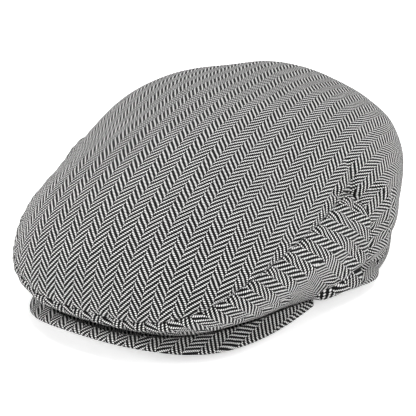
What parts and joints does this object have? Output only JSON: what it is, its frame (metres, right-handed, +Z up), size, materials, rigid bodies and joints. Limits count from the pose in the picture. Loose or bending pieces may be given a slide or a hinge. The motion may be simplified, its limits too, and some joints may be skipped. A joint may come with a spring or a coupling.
{
  "type": "flat cap",
  "caption": "Soft flat cap of herringbone cloth: a full top panel over a horseshoe side band, overhanging a short stiff peak.",
  "frame": {"origin": "on the floor, under the middle of the cap's length and width", "axes": "+Z up, -Y towards the peak, +X towards the wearer's left"},
  "size_m": [0.2191, 0.2618, 0.108],
  "materials": {
    "top_panel": "black and white herringbone wool twill",
    "side_band": "black and white herringbone wool twill",
    "peak": "black and white herringbone wool twill over a stiff board"
  },
  "bodies": {
    "root": {"top_panel": "top_panel", "side_band": "side_band", "peak": "peak"}
  },
  "joints": []
}
